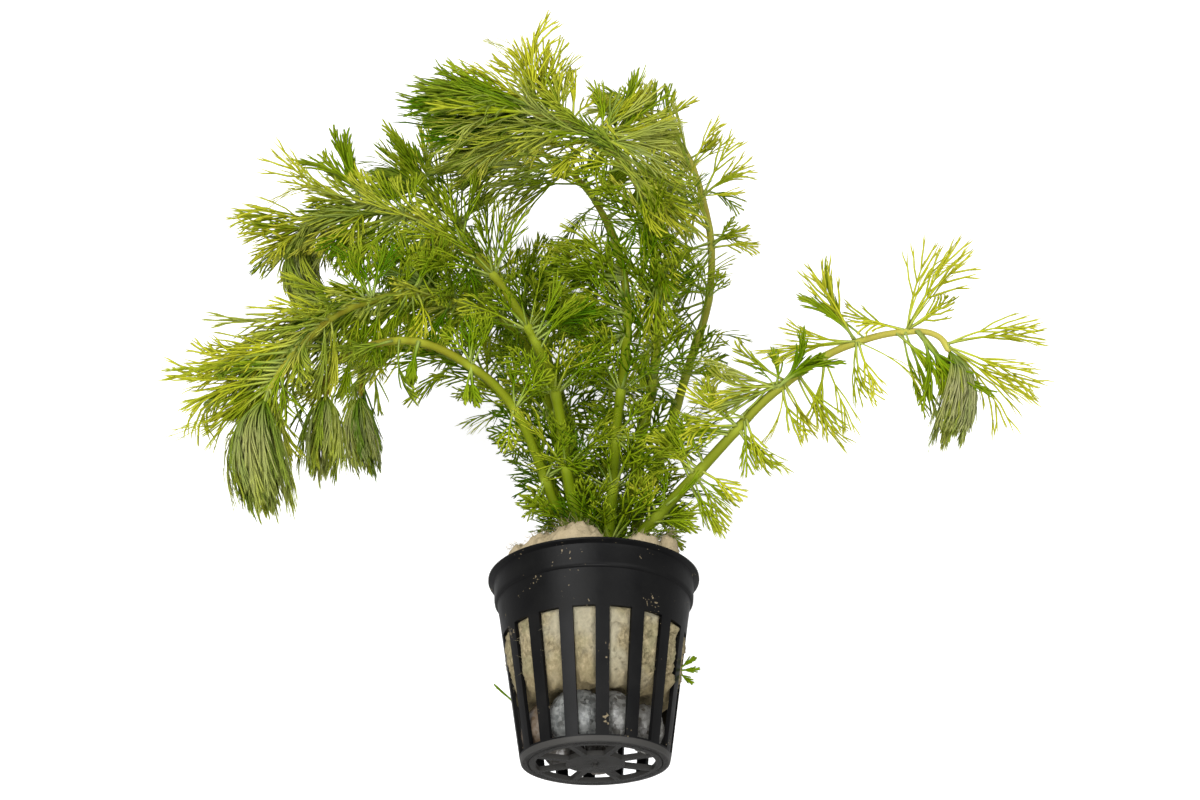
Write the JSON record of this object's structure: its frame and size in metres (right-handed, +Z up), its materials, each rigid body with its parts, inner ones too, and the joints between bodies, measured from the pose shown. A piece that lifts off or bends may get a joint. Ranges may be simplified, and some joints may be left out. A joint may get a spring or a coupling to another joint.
{
  "type": "potted dwarf ambulia",
  "caption": "Feathery aquarium stem plant with arching, drooping stems, rooted in rock wool over ballast stones in a round slotted net pot.",
  "frame": {"origin": "centre of the underside of the net pot, on the surface that it stands on", "axes": "+Z up along the pot's axis; -Y is the plant's front, the side that the picture shows; +X is its right, where one stem leans out alone"},
  "size_m": [0.2188, 0.137, 0.2399],
  "materials": {
    "pot_plastic": "satin",
    "rock_wool": "matte",
    "ballast_stone": "matte",
    "stems": "satin",
    "leaves": "satin",
    "young_leaves": "matte"
  },
  "bodies": {
    "root": {"net_pot": "pot_plastic", "rock_wool": "rock_wool", "sprig_left": "leaves", "sprig_right": "leaves", "stem_centre": "stems", "stem_left_back": "stems", "stem_left_high": "stems", "stem_left_low": "stems", "stem_left_mid": "stems", "stem_left_top": "stems", "stem_right": "stems", "stem_right_top": "stems", "stem_top": "stems", "stone_back": "ballast_stone", "stone_back_left": "ballast_stone", "stone_front": "ballast_stone", "stone_front_right": "ballast_stone", "stone_left": "ballast_stone", "stone_middle": "ballast_stone", "stone_right": "ballast_stone", "tuft_centre": "young_leaves", "tuft_left_back": "young_leaves", "tuft_left_high": "young_leaves", "tuft_left_low": "young_leaves", "tuft_left_mid": "young_leaves", "tuft_left_top": "young_leaves", "tuft_right": "young_leaves", "tuft_right_top": "young_leaves", "tuft_top": "young_leaves", "whorl_centre_1": "leaves", "whorl_centre_2": "leaves", "whorl_centre_3": "leaves", "whorl_left_back_1": "leaves", "whorl_left_back_2": "leaves", "whorl_left_back_3": "leaves", "whorl_left_high_1": "leaves", "whorl_left_high_2": "leaves", "whorl_left_high_3": "leaves", "whorl_left_high_4": "leaves", "whorl_left_low_1": "leaves", "whorl_left_low_2": "leaves", "whorl_left_low_3": "leaves", "whorl_left_mid_1": "leaves", "whorl_left_mid_2": "leaves", "whorl_left_mid_3": "leaves", "whorl_left_mid_4": "leaves", "whorl_left_top_1": "leaves", "whorl_left_top_2": "leaves", "whorl_left_top_3": "leaves", "whorl_right_1": "leaves", "whorl_right_2": "leaves", "whorl_right_3": "leaves", "whorl_right_top_1": "leaves", "whorl_right_top_2": "leaves", "whorl_right_top_3": "leaves", "whorl_right_top_4": "leaves", "whorl_top_1": "leaves", "whorl_top_2": "leaves", "whorl_top_3": "leaves", "whorl_top_4": "leaves"}
  },
  "joints": []
}
